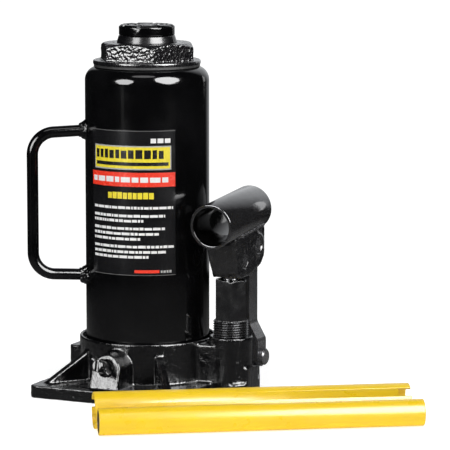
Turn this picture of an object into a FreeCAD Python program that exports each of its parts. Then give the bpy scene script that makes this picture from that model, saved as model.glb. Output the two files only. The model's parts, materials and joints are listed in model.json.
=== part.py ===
"""Hydraulic bottle jack of the ten-tonne class, with its two loose handle sections.

Millimetres, +Z up. The origin is on the ground, under the axis of the ram.
The operator stands on the -Y side: the release valve and the mouth of the handle socket
face them. The pump stands on the +X side of the tank.
"""
import FreeCAD
import Part
import math
import os

V = FreeCAD.Vector
UP = V(0, 0, 1)
ORIGIN = V(0, 0, 0)

# ---- driving dimensions -------------------------------------------------------------------
CLOSED_HEIGHT = 230.0        # ground to saddle, everything down
RAM_LIFT = 150.0             # hydraulic travel
SCREW_LIFT = 70.0            # travel of the extension screw
TANK_R = 39.0
TANK_WALL = 2.5
TANK_BOTTOM = 25.6           # it stands on a gasket on its ledge
TANK_TOP = 203.9
RAM_R = 18.8
CYLINDER_BORE_R = 20.4
CYLINDER_R = 26.0
CYLINDER_BOTTOM = 11.6       # it stands on a gasket in its well
CYLINDER_TOP = 202.8
PLATE = 8.0                  # thickness of the base plate
WELL_FLOOR = 10.0            # bottom of the well that the pressure cylinder screws into
TANK_FLOOR = 24.0            # ledge inside the collar that the tank stands on
COLLAR_TOP = 34.0
COLLAR_R = 43.2
PUMP_X = 58.0                # axis of the pump
LEVER_BACK = 19.0            # from the plunger pin to the link pin, along +Y
LEVER_UP = 8.3               # and up
PLUNGER_PIN_Z = 84.0
LOWER_PIN_Z = 21.2
PLUNGER_PIN_R = 3.5
LINK_PIN_R = 4.5
LOWER_PIN_R = 4.0
FREE = 0.05                  # radial play of a running fit
CLOSE = 0.02                 # gap round a pressed or glued piece

LINK_PIN_Z = PLUNGER_PIN_Z + LEVER_UP
PISTON_TOP = 36.0
BUSH_BOTTOM = PISTON_TOP + RAM_LIFT
NUT_BOTTOM = 205.3
NUT_TOP = 218.8
RAM_TOP = 223.2
SADDLE_BOTTOM = 223.3

LABEL_MIDDLE = 10.0          # degrees from -Y towards +X
HANDLE_SIDE = -55.0          # the carry handle, degrees from -Y towards +X


# ---- helpers ------------------------------------------------------------------------------
def cyl(radius, low, high, x=0.0, y=0.0):
    """Upright cylinder between two heights."""
    return Part.makeCylinder(radius, high - low, V(x, y, low))


def ring(inner, outer, low, high, x=0.0, y=0.0):
    """Upright tube between two heights."""
    return cyl(outer, low, high, x, y).cut(cyl(inner, low - 1, high + 1, x, y))


def rod(radius, start, end):
    """Round bar between two points."""
    way = end - start
    return Part.makeCylinder(radius, way.Length, start, way)


def crossbar(radius, y, z, low, high):
    """Round bar along X between two places."""
    return rod(radius, V(low, y, z), V(high, y, z))


def box(low, high):
    """Box between two corners."""
    size = [b - a for a, b in zip(low, high)]
    return Part.makeBox(*size, V(*low))


def outline(points, place):
    """Closed wire through points (a, b) or (a, b, radius), each corner rounded by its radius.

    place turns a pair (a, b) into a point of space.
    """
    corners = [(V(p[0], p[1], 0), p[2] if len(p) > 2 else 0.0) for p in points]
    stretches = []
    for i, (corner, radius) in enumerate(corners):
        before = (corners[i - 1][0] - corner).normalize()
        after = (corners[(i + 1) % len(corners)][0] - corner).normalize()
        if radius == 0.0:
            stretches.append((corner, None, corner))
            continue
        half = before.getAngle(after) / 2
        run = radius / math.tan(half)
        bisector = (before + after).normalize()
        middle = corner + bisector * (radius / math.sin(half) - radius)
        stretches.append((corner + before * run, middle, corner + after * run))
    edges = []
    for i, (start, middle, end) in enumerate(stretches):
        a, b = place(start.x, start.y), place(end.x, end.y)
        if middle is not None:
            edges.append(Part.Arc(a, place(middle.x, middle.y), b).toShape())
        following = stretches[(i + 1) % len(stretches)][0]
        c = place(following.x, following.y)
        if (c - b).Length > 1e-6:
            edges.append(Part.LineSegment(b, c).toShape())
    return Part.Wire(edges)


def turned(points):
    """Solid of revolution about the Z axis, from an outline of (radius, height) points."""
    wire = outline(points, lambda a, b: V(a, 0, b))
    return Part.Face(wire).revolve(ORIGIN, UP, 360)


def side_plate(points, low, high):
    """Plate across X between low and high, from an outline of (Y, Z) points."""
    wire = outline(points, lambda a, b: V(low, a, b))
    return Part.Face(wire).extrude(V(high - low, 0, 0))


def floor_plate(points, low, high):
    """Plate across Z between low and high, from an outline of (X, Y) points."""
    wire = outline(points, lambda a, b: V(a, b, low))
    return Part.Face(wire).extrude(V(0, 0, high - low))


def hexagon(across_flats, low, high, corner, x=0.0, y=0.0):
    """Hexagonal bar, one corner pointing at the angle given in degrees from +X."""
    radius = across_flats / math.sqrt(3)
    angles = [math.radians(corner + 60 * k) for k in range(6)]
    points = [(x + radius * math.cos(a), y + radius * math.sin(a)) for a in angles]
    return floor_plate(points, low, high)


def outward(degrees):
    """Horizontal direction at an angle from -Y towards +X."""
    angle = math.radians(degrees)
    return V(math.sin(angle), -math.cos(angle), 0)


def fuse(*shapes):
    """One solid from several that overlap."""
    return shapes[0].multiFuse(list(shapes[1:])).removeSplitter()


def without(shape, cutters):
    """The shape with all the cutters taken away."""
    return shape.cut(cutters[0].multiFuse(cutters[1:]))


def beyond(point, normal, size=60.0):
    """Block on the far side of the plane through a point, to cut a slanted face."""
    block = box((-size, -size, 0), (size, size, size))
    block.Placement = FreeCAD.Placement(point, FreeCAD.Rotation(UP, normal))
    return block


def ball(radius, centre):
    return Part.makeSphere(radius, centre)


def coil(mean_radius, wire_radius, length, turns, start, direction):
    """Helical compression spring from start along direction."""
    path = Part.makeHelix(length / turns, length, mean_radius)
    section = Part.Wire(Part.Circle(V(mean_radius, 0, 0), V(0, 1, 0.2), wire_radius).toShape())
    spring = Part.Wire(path).makePipeShell([section], True, True)
    spring.Placement = FreeCAD.Placement(start, FreeCAD.Rotation(UP, direction))
    return spring


def ring_grooves(radius, depth, low, high, pitch):
    """V grooves of a thread, as a stack of rings to cut from a bar of that radius."""
    grooves = []
    count = int((high - low) / pitch)
    for k in range(count):
        middle = low + (k + 0.5) * pitch
        half = 0.4 * pitch
        points = [(radius - depth, middle), (radius + 1, middle - half), (radius + 1, middle + half)]
        grooves.append(turned(points))
    return grooves


# ---- base casting -------------------------------------------------------------------------
VALVE_TILT = 17.0            # the release valve rises towards the operator
VALVE_FACE = V(0, -59.0, 21.5)
VALVE_BORE_R = 4.7
VALVE_DEPTH = 30.0
OVERLOAD_Y = -3.0
OVERLOAD_Z = 15.0
OVERLOAD_FACE_X = -50.0
OVERLOAD_BORE_R = 5.1
DELIVERY_Z = 8.0             # delivery valve bore, under the lug, entered from the rear
DELIVERY_BORE_R = 4.0
PUMP_BOSS_R = 13.8
PUMP_BOSS_TOP = 37.0
LUG_HALF = 8.5
LUG_REAR_Y = 26.0
PUMP_SEAT_Z = 17.0
PLATE_FRONT_Y = -66.5
PLATE_REAR_Y = 50.0
PLATE_HALF = 50.5
GUSSET_THICK = 5.5
GUSSET_TOP = 28.5
GUSSET_REACH = 71.5          # from the ram's axis
GUSSET_TURN = 36.3           # degrees from -Y
OILWAY_R = 1.5
LOW_OILWAY_Z = 4.8
HIGH_OILWAY_Z = 14.5
INLET_X = 31.0               # where the inlet oilway leaves the reservoir
PUMP_THREAD_R = 11.0


def valve_axis():
    """Direction of the release valve, out of the base."""
    tilt = math.radians(VALVE_TILT)
    return V(0, -math.cos(tilt), math.sin(tilt))


def gusset(side):
    """Triangular rib from the collar out to a front corner of the plate."""
    root, bottom = COLLAR_R - 3, 3
    points = [(root, bottom), (root, GUSSET_TOP), (GUSSET_REACH, PLATE + 1), (GUSSET_REACH, bottom)]
    rib = side_plate(points, -GUSSET_THICK / 2, GUSSET_THICK / 2)
    # the plate stands along +Y: turn it to its own direction
    rib.rotate(ORIGIN, UP, 180 + side * GUSSET_TURN)
    return rib


def release_boss():
    """Arched boss, its face square to the valve."""
    half, spring_line = 10.0, 19.6
    rear, front = -40.0, -66.0
    block = box((-half, front, 0), (half, rear, spring_line))
    arch = rod(half, V(0, rear, spring_line), V(0, front, spring_line))
    return fuse(block, arch).cut(beyond(VALVE_FACE, valve_axis()))


def overload_boss():
    """Square boss on the left of the collar, for the overload valve."""
    rear = OVERLOAD_FACE_X + 20
    points = [(OVERLOAD_FACE_X, -14, 4), (OVERLOAD_FACE_X, 8, 4), (rear, 8), (rear, -14)]
    return floor_plate(points, 0, 25)


def pump_boss():
    """Boss of the pump, with its web to the collar, its foot, and the lug of the link behind it."""
    web_front, web_rear, web_root = -13.4, 11.5, 35.0
    foot_x, foot_front, foot_rear = 72.3, -7.0, 12.0
    lug_side = PUMP_X + LUG_HALF
    foot = floor_plate([(web_root, web_front), (66, web_front, 4), (foot_x, foot_front, 3),
                        (foot_x, foot_rear, 3), (lug_side, LUG_REAR_Y, 2), (web_root, LUG_REAR_Y)], 0, PLATE)
    pad_root, pad_top = 60, 18
    pad = floor_plate([(pad_root, foot_front), (foot_x, foot_front, 2), (foot_x, foot_rear, 2),
                       (pad_root, foot_rear)], 0, pad_top)
    web = box((30, web_front, 0), (PUMP_X, web_rear, 32))
    boss = cyl(PUMP_BOSS_R, 0, PUMP_BOSS_TOP, PUMP_X)
    lug = box((PUMP_X - LUG_HALF, 8, 0), (lug_side, LUG_REAR_Y, LOWER_PIN_Z))
    lug_top = crossbar(LUG_REAR_Y - LEVER_BACK, LEVER_BACK, LOWER_PIN_Z, PUMP_X - LUG_HALF, lug_side)
    return fuse(foot, pad, web, boss, lug, lug_top)


def base():
    front_round, rear_round = 5, 26
    plate = floor_plate([
        (-PLATE_HALF, PLATE_FRONT_Y, front_round), (PLATE_HALF, PLATE_FRONT_Y, front_round),
        (PLATE_HALF, PLATE_REAR_Y, rear_round), (-PLATE_HALF, PLATE_REAR_Y, rear_round),
    ], 0, PLATE)
    collar = cyl(COLLAR_R, 0, COLLAR_TOP)
    body = fuse(plate, collar, pump_boss(), overload_boss(), release_boss(), gusset(1), gusset(-1))

    lip, lip_floor = 2.0, 29.0
    inward = valve_axis() * -1
    valve_end = VALVE_FACE + inward * VALVE_DEPTH
    return without(body, [
        # seat of the tank, and the gutter between the tank and the thin lip of the collar
        cyl(TANK_R + FREE, TANK_FLOOR, COLLAR_TOP + 1),
        cyl(COLLAR_R - lip, lip_floor, COLLAR_TOP + 1),
        # well of the pressure cylinder
        cyl(CYLINDER_R + FREE, WELL_FLOOR, TANK_FLOOR + 1),
        # pump well, its inlet valve and the delivery valve bore under it
        cyl(PUMP_THREAD_R + FREE, PUMP_SEAT_Z, PUMP_BOSS_TOP + 1, PUMP_X),
        cyl(3.2, DELIVERY_Z, PUMP_SEAT_Z + 1, PUMP_X),
        rod(DELIVERY_BORE_R, V(PUMP_X, LUG_REAR_Y + 1, DELIVERY_Z), V(PUMP_X, -3, DELIVERY_Z)),
        # pin bore of the lug
        crossbar(LOWER_PIN_R + FREE, LEVER_BACK, LOWER_PIN_Z, PUMP_X - 20, PUMP_X + 20),
        # release valve
        rod(VALVE_BORE_R, VALVE_FACE - inward * 5, valve_end),
        # overload valve
        crossbar(OVERLOAD_BORE_R, OVERLOAD_Y, OVERLOAD_Z, OVERLOAD_FACE_X - 1, OVERLOAD_FACE_X + 16),
        crossbar(OILWAY_R, OVERLOAD_Y, OVERLOAD_Z, OVERLOAD_FACE_X + 15, -CYLINDER_R + 6),
        # oilways: reservoir to inlet valve, delivery valve to the well, well to release valve
        cyl(OILWAY_R, HIGH_OILWAY_Z - 0.5, TANK_FLOOR + 1, INLET_X),
        crossbar(OILWAY_R, 0, HIGH_OILWAY_Z, INLET_X, PUMP_X),
        crossbar(OILWAY_R, 0, LOW_OILWAY_Z, -6, PUMP_X),
        cyl(OILWAY_R, LOW_OILWAY_Z, WELL_FLOOR + 1),
        rod(OILWAY_R, valve_end - inward, valve_end + inward * 12),
    ])


# ---- tank and what is welded to it --------------------------------------------------------
FILLER_R = 5.0
FILLER_Z = 186.0
MOUTH_R = 29.8
SHOULDER_R = 8.5


def tank():
    inner = TANK_R - TANK_WALL
    ceiling = TANK_TOP - TANK_WALL
    shell = turned([(inner, TANK_BOTTOM), (TANK_R, TANK_BOTTOM), (TANK_R, TANK_TOP, SHOULDER_R),
                    (MOUTH_R, TANK_TOP), (MOUTH_R, ceiling), (inner, ceiling, SHOULDER_R - TANK_WALL)])
    filler = rod(FILLER_R, V(0, inner - 5, FILLER_Z), V(0, TANK_R + 5, FILLER_Z))
    return shell.cut(filler)


def filler_plug():
    """Rubber plug of the oil filler, high on the rear of the tank."""
    bulb_r, cap_r = 5.6, 7.5

    def outwards(radius, start, end):
        return rod(radius, V(0, TANK_R + start, FILLER_Z), V(0, TANK_R + end, FILLER_Z))

    cap = outwards(cap_r, -2, 2.2).cut(cyl(TANK_R + CLOSE, 0, TANK_TOP))
    return fuse(outwards(FILLER_R - CLOSE, -4.5, 0.5), outwards(bulb_r, -5.5, -3.4), cap)


def tank_label():
    """Film label wrapped round the front of the tank."""
    low, high, half_arc = 76.7, 167.3, 42.6
    thick = 0.25
    film = ring(TANK_R + CLOSE, TANK_R + CLOSE + thick, low, high)
    reach = 2 * TANK_R
    left, right = outward(LABEL_MIDDLE - half_arc) * reach, outward(LABEL_MIDDLE + half_arc) * reach
    middle = outward(LABEL_MIDDLE) * reach * 2
    wire = Part.makePolygon([ORIGIN, left, middle, right, ORIGIN])
    wedge = Part.Face(wire).extrude(V(0, 0, CLOSED_HEIGHT))
    return film.common(wedge)


HANDLE_ROD_R = 3.6
HANDLE_REACH = 72.6          # from the axis to the middle of the free bar
HANDLE_ENDS = (72.6, 164.2)  # heights where the two arms meet the tank
HANDLE_LEAN = 1.5            # the arms draw together by this much towards the free bar


def carry_handle():
    """Round bar bent into a bow, its two ends welded to the tank."""
    side = outward(HANDLE_SIDE)
    low, high = HANDLE_ENDS
    bend = 14.0
    points = [(TANK_R - 2, low), (HANDLE_REACH, low + HANDLE_LEAN, bend),
              (HANDLE_REACH, high - HANDLE_LEAN, bend), (TANK_R - 2, high)]
    closed = outline(points, lambda a, b: side * a + UP * b)
    path = Part.Wire(closed.Edges[:-1])
    start = side * (TANK_R - 2) + UP * low
    section = Part.Wire(Part.Circle(start, side, HANDLE_ROD_R).toShape())
    bar = path.makePipeShell([section], True, True)
    return bar.cut(cyl(TANK_R, 0, CLOSED_HEIGHT))


def handle_welds():
    """Weld beads round both ends of the carry handle."""
    side = outward(HANDLE_SIDE)
    bar = carry_handle()
    beads = []
    for height in HANDLE_ENDS:
        bead = Part.makeCone(8.2, 4.4, 7.5, side * (TANK_R - 3) + UP * height, side)
        beads.append(bead.cut(bar).cut(cyl(TANK_R, 0, CLOSED_HEIGHT)))
    return Part.makeCompound(beads)


# ---- pressure cylinder and head -----------------------------------------------------------
WIPER_R = 21.5
WIPER_BOTTOM = 211.0
WIPER_TOP = 214.0


def cap_nut():
    """Hexagonal head nut: its skirt screws on to the pressure cylinder and clamps the tank."""
    flange_r, skirt_r = 33.8, 29.6
    across_flats, chamfer_r = 55.0, 27.0
    hexagon_bottom = NUT_BOTTOM + 2.5
    outer = 36.0
    drop = (outer - chamfer_r) * math.tan(math.radians(30))
    corner_turn = -57.0
    crown = turned([(0, hexagon_bottom), (outer, hexagon_bottom), (outer, NUT_TOP - drop),
                    (chamfer_r, NUT_TOP), (0, NUT_TOP)])
    head = hexagon(across_flats, hexagon_bottom, NUT_TOP, corner_turn).common(crown)
    flange = turned([(0, NUT_BOTTOM), (flange_r, NUT_BOTTOM, 0.6), (flange_r, hexagon_bottom + 0.2, 1.0),
                     (0, hexagon_bottom + 0.2)])
    skirt = cyl(skirt_r, BUSH_BOTTOM, NUT_BOTTOM + 1)
    body = fuse(head, flange, skirt)
    bore = cyl(RAM_R + FREE, BUSH_BOTTOM - 1, NUT_TOP + 1)
    thread = cyl(CYLINDER_R + FREE, BUSH_BOTTOM - 1, CYLINDER_TOP + 0.2)
    wiper_groove = cyl(WIPER_R, WIPER_BOTTOM, WIPER_TOP)
    return without(body, [bore, thread, wiper_groove])


def cap_gasket():
    return ring(MOUTH_R, 33.3, TANK_TOP, NUT_BOTTOM)


def tank_gasket():
    return ring(TANK_R - TANK_WALL, TANK_R, TANK_FLOOR, TANK_BOTTOM)


def ram_wiper():
    return ring(RAM_R + 0.03, WIPER_R - FREE, WIPER_BOTTOM + 0.1, WIPER_TOP - 0.1)


def guide_bush():
    """Its lower edge is what stops the piston at full lift."""
    return ring(RAM_R + FREE, CYLINDER_BORE_R - FREE, BUSH_BOTTOM, CYLINDER_TOP)


def pressure_cylinder():
    return ring(CYLINDER_BORE_R, CYLINDER_R, CYLINDER_BOTTOM, CYLINDER_TOP)


def cylinder_gasket():
    return ring(CYLINDER_BORE_R + 0.1, CYLINDER_R - 0.1, WELL_FLOOR, CYLINDER_BOTTOM)


# ---- ram and extension screw --------------------------------------------------------------
STUD_R = 8.0
STUD_BOTTOM = 12.6
PISTON_BOTTOM = 24.0
CUP_BOTTOM = 17.0
SCREW_R = 12.5
SCREW_PITCH = 4.0
SADDLE_R = 17.6
NECK_BOTTOM = 190.0          # the ram's threaded neck, above its hollow
STOP_RING_TOP = NECK_BOTTOM - SCREW_LIFT


def ram():
    """Hollow ram with the piston at its foot and a threaded neck at its top."""
    hollow_r, hollow_floor = 15.2, PISTON_TOP + 4
    piston_r, neck_r = CYLINDER_BORE_R - FREE, SCREW_R + 0.1
    return turned([
        (0, STUD_BOTTOM), (STUD_R, STUD_BOTTOM), (STUD_R, PISTON_BOTTOM), (piston_r, PISTON_BOTTOM, 0.8),
        (piston_r, PISTON_TOP, 0.8), (RAM_R, PISTON_TOP), (RAM_R, RAM_TOP - 4), (SADDLE_R, RAM_TOP, 0.6),
        (neck_r, RAM_TOP), (neck_r, NECK_BOTTOM), (hollow_r, NECK_BOTTOM),
        (hollow_r, hollow_floor, 3), (0, hollow_floor),
    ])


def ram_cup_seal():
    """Cup of soft plastic, hollow underneath so that the oil spreads it."""
    cup = ring(STUD_R + CLOSE, CYLINDER_BORE_R - CLOSE, CUP_BOTTOM, PISTON_BOTTOM - CLOSE)
    hollow = ring(14.5, 17.5, CUP_BOTTOM - 1, CUP_BOTTOM + 3)
    return cup.cut(hollow)


def seal_retaining_nut():
    across_flats = 24
    nut = hexagon(across_flats, STUD_BOTTOM, CUP_BOTTOM - CLOSE, 0)
    return nut.cut(cyl(STUD_R + CLOSE, 0, CUP_BOTTOM + 1))


def extension_screw():
    """Threaded bar with the saddle forged on its top."""
    bottom = STOP_RING_TOP - 6
    groove_half, groove_deep = 1.2, 1.3
    bar = cyl(SCREW_R, bottom, SADDLE_BOTTOM + 1)
    saddle = turned([(0, SADDLE_BOTTOM), (SADDLE_R, SADDLE_BOTTOM, 0.5), (SADDLE_R, CLOSED_HEIGHT - 1.3),
                     (SADDLE_R - 1.5, CLOSED_HEIGHT), (0, CLOSED_HEIGHT)])
    body = fuse(bar, saddle)
    cuts = ring_grooves(SCREW_R, 1.4, STOP_RING_TOP + 4, SADDLE_BOTTOM - 2, SCREW_PITCH)
    cuts.append(ring(SCREW_R - 1.5, SCREW_R + 1, STOP_RING_TOP - 2.6, STOP_RING_TOP))
    groove_floor, above = CLOSED_HEIGHT - groove_deep, CLOSED_HEIGHT + 1
    for k in range(8):
        groove = box((5.0, -groove_half, groove_floor), (SADDLE_R + 1, groove_half, above))
        groove.rotate(ORIGIN, UP, 45 * k + 8)
        cuts.append(groove)
    for radius in (7.5, 12.0):
        cuts.append(ring(radius - 0.6, radius + 0.6, CLOSED_HEIGHT - 0.8, above))
    return without(body, cuts)


def screw_stop_ring():
    """Snap ring that stops the screw under the ram's neck."""
    whole = ring(SCREW_R - 1.45, 14.6, STOP_RING_TOP - 2.5, STOP_RING_TOP - 0.1)
    return whole.cut(box((0, -2, 0), (30, 2, CLOSED_HEIGHT)))


# ---- release, overload, inlet and delivery valves -----------------------------------------
SEAL_BORE_R = 3.42           # of the release valve's seal


def release_valve():
    """Valve screw with the cross bar that the notched end of the handle turns."""
    out = valve_axis()
    inner = rod(VALVE_BORE_R - FREE, VALVE_FACE - out * 24, VALVE_FACE - out * 1.0)
    nose = Part.makeCone(1.0, VALVE_BORE_R - FREE, 3, VALVE_FACE - out * 27, out)
    neck = rod(4.0, VALVE_FACE - out * 2, VALVE_FACE + out * 11.5)
    tip = Part.makeCone(4.0, 3.2, 0.8, VALVE_FACE + out * 11.5, out)
    middle = VALVE_FACE + out * 5.5
    across = V(1, 0, 0)
    bar = rod(2.2, middle - across * 8.2, middle + across * 8.2)
    bar.rotate(middle, out, -35)
    body = fuse(inner, nose, neck, tip, bar)
    slot = box((-1.0, -5, -1.8), (1.0, 5, 3))
    slot.Placement = FreeCAD.Placement(VALVE_FACE + out * 12.3, FreeCAD.Rotation(UP, out))
    core = rod(SEAL_BORE_R - CLOSE, VALVE_FACE - out * 9, VALVE_FACE - out * 5)
    seal_groove = rod(6, VALVE_FACE - out * 8, VALVE_FACE - out * 6).cut(core)
    return body.cut(slot).cut(seal_groove)


def release_seal():
    out = valve_axis()
    disc = rod(VALVE_BORE_R - CLOSE, VALVE_FACE - out * 7.9, VALVE_FACE - out * 6.1)
    return disc.cut(rod(SEAL_BORE_R, VALVE_FACE - out * 9, VALVE_FACE - out * 5))


def release_ball():
    return ball(1.4, VALVE_FACE - valve_axis() * 28.5)


def overload_plug():
    """Slotted adjusting plug of the overload valve."""
    face = OVERLOAD_FACE_X + 0.8
    plug = crossbar(OVERLOAD_BORE_R - FREE, OVERLOAD_Y, OVERLOAD_Z, face, face + 6)
    slot = box((face - 1, OVERLOAD_Y - 0.7, OVERLOAD_Z - 6), (face + 1.8, OVERLOAD_Y + 0.7, OVERLOAD_Z + 6))
    return plug.cut(slot)


def overload_spring():
    return coil(2.2, 0.45, 5.4, 4, V(OVERLOAD_FACE_X + 7.3, OVERLOAD_Y, OVERLOAD_Z), V(1, 0, 0))


def overload_ball():
    return ball(1.5, V(-35.6, OVERLOAD_Y, OVERLOAD_Z))


def inlet_ball():
    return ball(2.4, V(PUMP_X, 0, 14.4))


def delivery_plug():
    """Screw plug that closes the delivery valve bore, under the lug at the rear."""
    across_flats, deep = 4.0, 4.0
    start = V(PUMP_X, LUG_REAR_Y - 0.6, DELIVERY_Z)
    plug = rod(DELIVERY_BORE_R - CLOSE, start, start - V(0, 7.4, 0))
    socket = hexagon(across_flats, -deep, 1, 0)
    socket.Placement = FreeCAD.Placement(start, FreeCAD.Rotation(UP, V(0, 1, 0)))
    return plug.cut(socket)


def delivery_spring():
    return coil(2.4, 0.4, 11, 6, V(PUMP_X, LUG_REAR_Y - 8.6, DELIVERY_Z), V(0, -1, 0))


def delivery_ball():
    return ball(2.6, V(PUMP_X, 3.2, DELIVERY_Z))


def inlet_filter():
    """Gauze disc over the inlet oilway, on the reservoir floor."""
    mesh_circle, mesh_r = 2.2, 0.5
    disc = cyl(4.4, TANK_FLOOR, TANK_FLOOR + 1.0, INLET_X)
    holes = []
    for k in range(6):
        turn = math.radians(60 * k)
        holes.append(cyl(mesh_r, TANK_FLOOR - 1, TANK_FLOOR + 2, INLET_X + mesh_circle * math.cos(turn),
                         mesh_circle * math.sin(turn)))
    return without(disc, holes)


# ---- pump ---------------------------------------------------------------------------------
PLUNGER_R = 6.0
PUMP_TOP = 72.5
PUMP_HEX = 19.0
EYE_R = 6.5
SLOT_PLAY = 1.7              # how far the plunger pin wanders towards -Y as the handle swings
PLUNGER_SEAL_R = 8.0
CHEEK_IN = 7.1               # faces of the yoke's cheeks, from the pump axis
CHEEK_OUT = 10.3
CLIP_THICK = 0.9


def pump_cylinder():
    """Hexagonal bar, threaded below where it screws into its boss."""
    bottom = PUMP_SEAT_Z + 1.0
    thread_top = 46.5
    corner_turn = -65.0
    bar = hexagon(PUMP_HEX, thread_top, PUMP_TOP, corner_turn, PUMP_X)
    chamfer = turned([(0, thread_top), (PUMP_THREAD_R, thread_top), (PUMP_THREAD_R, PUMP_TOP - 1.0),
                      (PUMP_THREAD_R - 1.6, PUMP_TOP), (0, PUMP_TOP)])
    chamfer.translate(V(PUMP_X, 0, 0))
    thread = cyl(PUMP_THREAD_R, bottom, thread_top, PUMP_X)
    body = fuse(bar.common(chamfer), thread)
    grooves = [g.translated(V(PUMP_X, 0, 0)) for g in
               ring_grooves(PUMP_THREAD_R, 0.9, PUMP_BOSS_TOP + 0.5, thread_top, 1.5)]
    bore = cyl(PLUNGER_R + FREE, bottom - 1, PUMP_TOP + 1, PUMP_X)
    seal_seat = cyl(PLUNGER_SEAL_R, PUMP_TOP - 5, PUMP_TOP + 1, PUMP_X)
    return without(body, grooves + [bore, seal_seat])


def pump_gasket():
    return ring(7.0, PUMP_THREAD_R, PUMP_SEAT_Z, PUMP_SEAT_Z + 1.0, PUMP_X)


def plunger_seal():
    return ring(PLUNGER_R + 0.03, PLUNGER_SEAL_R - CLOSE, PUMP_TOP - 5 + CLOSE, PUMP_TOP - 1.2, PUMP_X)


def rounded_slot(radius, reach):
    """Bar across the pump with the section of the slotted eye: two half rounds and what is between them."""
    rear, front = 0.2, -SLOT_PLAY
    low, high = PUMP_X - reach, PUMP_X + reach
    return fuse(
        crossbar(radius, rear, PLUNGER_PIN_Z, low, high),
        crossbar(radius, front, PLUNGER_PIN_Z, low, high),
        box((low, front, PLUNGER_PIN_Z - radius), (high, rear, PLUNGER_PIN_Z + radius)),
    )


def pump_plunger():
    """Round plunger with a slotted eye for its pin."""
    half = CHEEK_IN - 0.6
    groove = ring(PLUNGER_R - 1, PLUNGER_R + 2, PUMP_SEAT_Z + 7, PUMP_SEAT_Z + 9.5, PUMP_X)
    shank = cyl(PLUNGER_R, PUMP_SEAT_Z + 4, PLUNGER_PIN_Z - 2, PUMP_X).cut(groove)
    return fuse(shank, rounded_slot(EYE_R, half)).cut(rounded_slot(PLUNGER_PIN_R + 0.3, half + 2))


def headless_pin(radius, y, z):
    """Pin across the yoke, flush on the +X side, grooved for a clip on the -X side."""
    left = PUMP_X - CHEEK_OUT - 2.6
    pin = crossbar(radius, y, z, left, PUMP_X + CHEEK_OUT - 0.4)
    groove_start = PUMP_X - CHEEK_OUT - 1.4
    core = crossbar(radius - 0.8, y, z, groove_start - 1, groove_start + 3)
    groove = crossbar(radius + 1, y, z, groove_start, groove_start + CLIP_THICK + 0.1).cut(core)
    return pin.cut(groove)


def pin_clip(radius, x, y, z):
    """Open spring clip in the groove of a pin of that radius."""
    disc = crossbar(radius + 2.0, y, z, x, x + CLIP_THICK)
    hole = crossbar(radius - 0.75, y, z, x - 1, x + 3)
    gap = box((x - 1, y - 2.0, z), (x + 3, y + 2.0, z + 20))
    return disc.cut(hole).cut(gap)


def plunger_pin():
    return headless_pin(PLUNGER_PIN_R, 0, PLUNGER_PIN_Z)


def plunger_pin_clip():
    return pin_clip(PLUNGER_PIN_R, PUMP_X - CHEEK_OUT - 1.35, 0, PLUNGER_PIN_Z)


def link_pin():
    return headless_pin(LINK_PIN_R, LEVER_BACK, LINK_PIN_Z)


def link_pin_clip():
    return pin_clip(LINK_PIN_R, PUMP_X - CHEEK_OUT - 1.35, LEVER_BACK, LINK_PIN_Z)


# ---- link between the base lug and the yoke -----------------------------------------------
LINK_HALF_WIDTH = 6.25
LINK_THICK = 4.0
UPPER_FACE = 2.8             # inner faces of the plates, from the pump axis
LOWER_FACE = 8.8
STEP_LOW, STEP_HIGH = 32.5, 43.0


def link_plate(side):
    """Strip stepped outwards so that it passes inside the yoke and outside the lug."""
    y = LEVER_BACK - LINK_HALF_WIDTH - 1
    end = LINK_HALF_WIDTH + 1
    points = [(UPPER_FACE, LINK_PIN_Z + end), (UPPER_FACE, STEP_HIGH - 0.9, 4),
              (LOWER_FACE, STEP_LOW - 0.9, 4), (LOWER_FACE, LOWER_PIN_Z - end),
              (LOWER_FACE + LINK_THICK, LOWER_PIN_Z - end),
              (LOWER_FACE + LINK_THICK, STEP_LOW, 4), (UPPER_FACE + LINK_THICK, STEP_HIGH, 4),
              (UPPER_FACE + LINK_THICK, LINK_PIN_Z + end)]
    wire = outline(points, lambda a, b: V(PUMP_X + side * a, y, b))
    strip = Part.Face(wire).extrude(V(0, 2 * LINK_HALF_WIDTH + 2, 0))
    left, right = PUMP_X - 20, PUMP_X + 20
    middle = box((left, LEVER_BACK - LINK_HALF_WIDTH, LOWER_PIN_Z),
                 (right, LEVER_BACK + LINK_HALF_WIDTH, LINK_PIN_Z))
    ends = [crossbar(LINK_HALF_WIDTH, LEVER_BACK, z, left, right) for z in (LOWER_PIN_Z, LINK_PIN_Z)]
    holes = [crossbar(pin_r + FREE, LEVER_BACK, z, left, right)
             for pin_r, z in ((LOWER_PIN_R, LOWER_PIN_Z), (LINK_PIN_R, LINK_PIN_Z))]
    return without(strip.common(fuse(middle, *ends)), holes)


def lower_pin():
    """Headed pin through the link plates and the base lug."""
    y, z = LEVER_BACK, LOWER_PIN_Z
    head_r, head_thick, crown = 5.3, 2.2, 0.8
    outer = LOWER_FACE + LINK_THICK
    head_start = PUMP_X + outer + 0.1
    shank = crossbar(LOWER_PIN_R, y, z, PUMP_X - outer - 3.2, head_start + 0.5)
    head = crossbar(head_r, y, z, head_start, head_start + head_thick)
    cap = Part.makeCone(head_r, head_r - 0.9, crown, V(head_start + head_thick, y, z), V(1, 0, 0))
    groove_start = PUMP_X - outer - 1.6
    core = crossbar(LOWER_PIN_R - 0.8, y, z, groove_start - 1, groove_start + 3)
    groove = crossbar(LOWER_PIN_R + 2, y, z, groove_start, groove_start + CLIP_THICK + 0.1).cut(core)
    return fuse(shank, head, cap).cut(groove)


def lower_pin_clip():
    return pin_clip(LOWER_PIN_R, PUMP_X - LOWER_FACE - LINK_THICK - 1.55, LEVER_BACK, LOWER_PIN_Z)


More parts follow.
